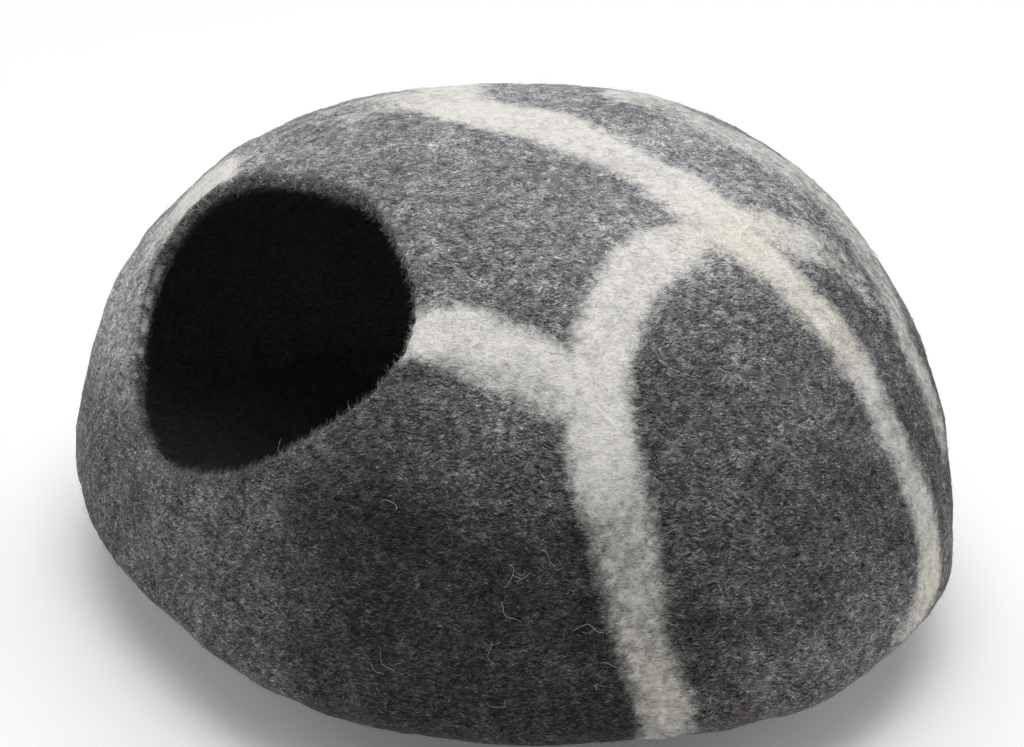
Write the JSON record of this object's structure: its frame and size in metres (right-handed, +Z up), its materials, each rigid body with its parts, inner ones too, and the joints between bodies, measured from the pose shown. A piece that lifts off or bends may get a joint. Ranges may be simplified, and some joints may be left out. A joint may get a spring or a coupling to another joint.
{
  "type": "felt cat cave",
  "caption": "Hollow pebble-shaped pet bed of thick wool felt, closed all round, with a round entrance high on its front slope.",
  "frame": {"origin": "on the floor under the middle of the cave's outline", "axes": "+Z up, the entrance faces -Y and upwards"},
  "size_m": [0.4334, 0.3966, 0.23],
  "materials": {
    "felt": "matt fuzzy wool felt, charcoal heather with off-white veins"
  },
  "bodies": {
    "root": {"felt_shell": "felt"}
  },
  "joints": []
}
